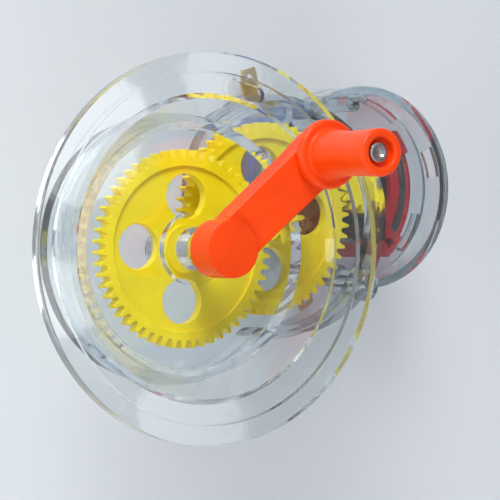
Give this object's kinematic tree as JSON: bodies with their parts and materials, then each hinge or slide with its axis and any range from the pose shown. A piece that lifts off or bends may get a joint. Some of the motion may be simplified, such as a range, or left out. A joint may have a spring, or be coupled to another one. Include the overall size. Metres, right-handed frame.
{
  "type": "demonstration electric motor",
  "caption": "Hand-cranked demonstration motor and generator: clear dished gear case, spur gear train, crank with spinning grip, and a magnet-and-coil motor in a clear cylinder.",
  "frame": {"origin": "centre of the rear cap's outer face, on the rotor axis", "axes": "+Z along the rotor, idler and crank axes, from the rear cap to the crank; +X from the crank axis to the rotor axis"},
  "size_m": [0.149, 0.108, 0.118],
  "materials": {
    "clear_plastic": "clear polished",
    "yellow_plastic": "moulded gloss",
    "orange_plastic": "moulded gloss",
    "red_plastic": "moulded gloss",
    "blue_plastic": "moulded gloss",
    "black_plastic": "moulded matte",
    "fibre": "pressed fibre board",
    "ferrite": "ground ferrite",
    "core_steel": "stacked sheet",
    "steel": "bright",
    "brass": "bright",
    "copper": "bright",
    "copper_wire": "enamelled wire"
  },
  "bodies": {
    "housing": {"front_dish": "clear_plastic", "gear_case": "clear_plastic", "motor_shell": "clear_plastic", "rear_cap": "clear_plastic", "post_screw": "steel", "cap_screws": "steel", "idler_pin": "steel", "rotor_front_bush": "brass", "rotor_rear_bush": "brass", "magnet_holder_red": "red_plastic", "magnet_holder_blue": "blue_plastic", "magnet_north": "ferrite", "magnet_south": "ferrite", "brush_left": "copper", "brush_right": "copper", "terminal_left": "brass", "terminal_right": "brass"},
    "crank": {"crank_arm": "orange_plastic", "crank_shaft": "steel", "drive_gear": "yellow_plastic", "handle_pin": "steel"},
    "grip": {"handle_grip": "orange_plastic"},
    "idler": {"idler_gear": "yellow_plastic"},
    "rotor": {"rotor_shaft": "steel", "rotor_pinion": "yellow_plastic", "rotor_core": "core_steel", "rotor_insulators": "fibre", "coil_1": "copper_wire", "coil_2": "copper_wire", "coil_3": "copper_wire", "commutator_drum": "black_plastic", "commutator_segments": "copper", "rotor_washers": "steel"}
  },
  "joints": [
    {"name": "crank_turn", "type": "hinge", "parent": "housing", "child": "crank", "pos_m": [-0.066, 0, 0.07], "axis": [0, 0, 1], "continuous": true},
    {"name": "grip_spin", "type": "hinge", "parent": "crank", "child": "grip", "pos_m": [-0.03229, 0.01755, 0.1], "axis": [0, 0, 1], "continuous": true},
    {"name": "idler_turn", "type": "hinge", "parent": "housing", "child": "idler", "pos_m": [-0.033, 0, 0.054], "axis": [0, 0, 1], "continuous": true},
    {"name": "rotor_turn", "type": "hinge", "parent": "housing", "child": "rotor", "pos_m": [0, 0, 0.026], "axis": [0, 0, 1], "continuous": true}
  ],
  "couplings": [
    {"joint": "idler_turn", "follows": "crank_turn", "ratio": -4.5},
    {"joint": "rotor_turn", "follows": "crank_turn", "ratio": 20.25}
  ]
}
